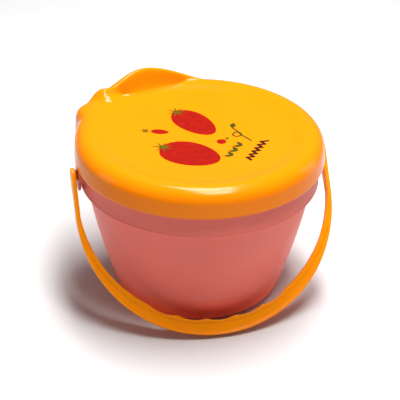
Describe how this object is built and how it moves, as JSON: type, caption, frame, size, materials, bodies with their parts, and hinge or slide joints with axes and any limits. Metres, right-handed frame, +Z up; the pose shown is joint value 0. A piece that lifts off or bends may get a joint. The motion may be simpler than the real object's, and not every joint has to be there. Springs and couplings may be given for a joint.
{
  "type": "sand bucket",
  "caption": "Round toy sand bucket with a tapered pail, a dished lift-off lid with a leaf-shaped finger tab and printed fruit, and a swinging arched bail with finger scallops.",
  "frame": {"origin": "centre of the foot ring on the ground", "axes": "+Z up along the pail's axis; +X along the bail's pivot line; -Y is the front, where the bail hangs"},
  "size_m": [0.209, 0.2005, 0.153],
  "materials": {
    "pail_plastic": "satin moulded polypropylene, salmon pink, slightly translucent",
    "lid_plastic": "glossy moulded polypropylene, warm yellow",
    "bail_plastic": "semi-gloss moulded polypropylene, orange-yellow",
    "ink_red": "pad-printed ink, red",
    "ink_green": "pad-printed ink, olive green",
    "ink_brown": "pad-printed ink, dark brown"
  },
  "bodies": {
    "pail": {"bucket": "pail_plastic"},
    "lid": {"lid": "lid_plastic", "print_berry_front": "ink_red", "print_berry_back": "ink_red", "print_bud": "ink_red", "print_cherry": "ink_red", "print_seeds": "ink_brown", "print_calyx_front": "ink_green", "print_calyx_back": "ink_green", "print_leaflets": "ink_green", "print_vine": "ink_green", "print_sprouts": "ink_green", "print_squiggle": "ink_brown"},
    "bail": {"handle": "bail_plastic"}
  },
  "joints": [
    {"name": "lid_lift", "type": "slide", "parent": "pail", "child": "lid", "axis": [0, 0, 1], "range_m": [0, 0.08]},
    {"name": "bail_swing", "type": "hinge", "parent": "pail", "child": "bail", "pos_m": [0, 0, 0.1116], "axis": [-1, 0, 0], "range_deg": [0, 283]}
  ]
}
